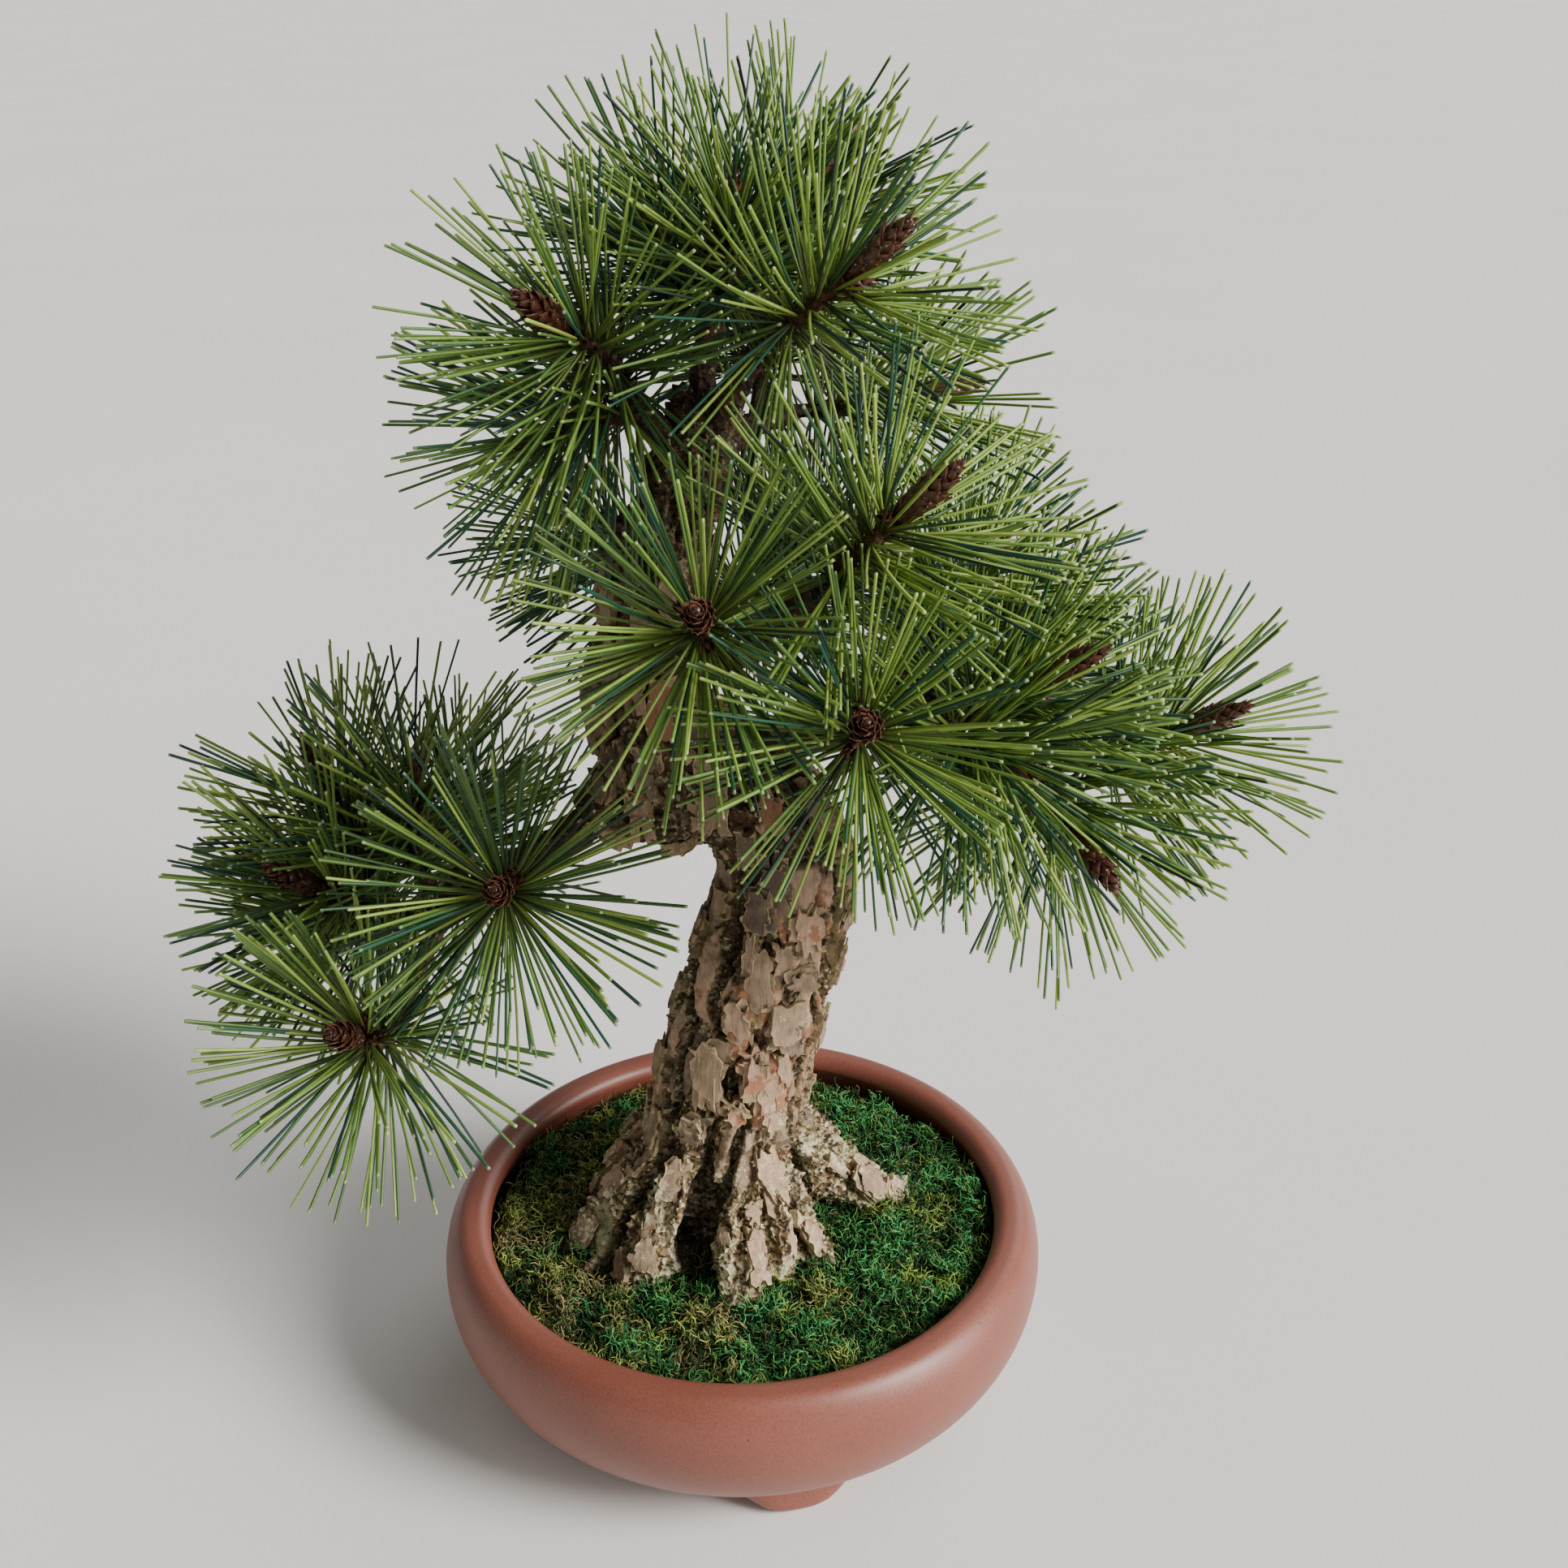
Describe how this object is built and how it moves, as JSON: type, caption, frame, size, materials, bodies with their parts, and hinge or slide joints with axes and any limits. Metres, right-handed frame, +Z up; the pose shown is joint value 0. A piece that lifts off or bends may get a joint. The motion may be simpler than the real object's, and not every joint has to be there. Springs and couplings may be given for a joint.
{
  "type": "bonsai pine tree in a round clay pot",
  "caption": "Small pine with a leaning barked trunk, spreading roots and tufts of long needles, set in moss in a low round clay pot on short feet.",
  "frame": {"origin": "on the pot's axis, on the surface that its feet stand on", "axes": "+Z up along the tree; -Y towards the front of the tree; +X to the right of someone who faces it"},
  "size_m": [0.3816, 0.2983, 0.4741],
  "materials": {
    "clay": "unglazed burnished red-brown stoneware, soft sheen",
    "soil": "dark crumbly bark-and-peat potting mix, matte",
    "moss": "dense sheet moss, bright to olive green, matte",
    "bark": "rough flaky plated bark with pale lichen, matte",
    "twig": "dark rough twig bark, matte",
    "needle": "long straight needles in mixed greens, satin",
    "bud": "scaly red-brown buds with pale resin specks, satin"
  },
  "bodies": {
    "root": {"branch_apex": "twig", "branch_back": "twig", "branch_crown_back": "twig", "branch_crown_left": "twig", "branch_crown_right": "twig", "branch_front": "twig", "branch_left": "twig", "branch_right": "twig", "branch_right_high": "twig", "bud_apex_right": "bud", "bud_crown_left": "bud", "bud_crown_right": "bud", "bud_crown_right_low": "bud", "bud_front": "bud", "bud_front_right": "bud", "bud_left_end": "bud", "bud_left_front": "bud", "bud_left_high": "bud", "bud_left_low": "bud", "bud_left_side": "bud", "bud_right_bud": "bud", "bud_right_drop": "bud", "bud_right_end": "bud", "bud_right_high": "bud", "moss": "moss", "needles_apex": "needle", "needles_apex_left": "needle", "needles_apex_right": "needle", "needles_back": "needle", "needles_back_left": "needle", "needles_back_low": "needle", "needles_crown_back": "needle", "needles_crown_left": "needle", "needles_crown_left_low": "needle", "needles_crown_right": "needle", "needles_crown_right_low": "needle", "needles_front": "needle", "needles_front_right": "needle", "needles_left_back": "needle", "needles_left_end": "needle", "needles_left_front": "needle", "needles_left_high": "needle", "needles_left_low": "needle", "needles_left_side": "needle", "needles_left_up": "needle", "needles_right_back": "needle", "needles_right_bud": "needle", "needles_right_drop": "needle", "needles_right_end": "needle", "needles_right_high": "needle", "needles_right_low": "needle", "needles_right_low_back": "needle", "needles_right_mid": "needle", "pot": "clay", "soil": "soil", "trunk": "bark"}
  },
  "joints": []
}
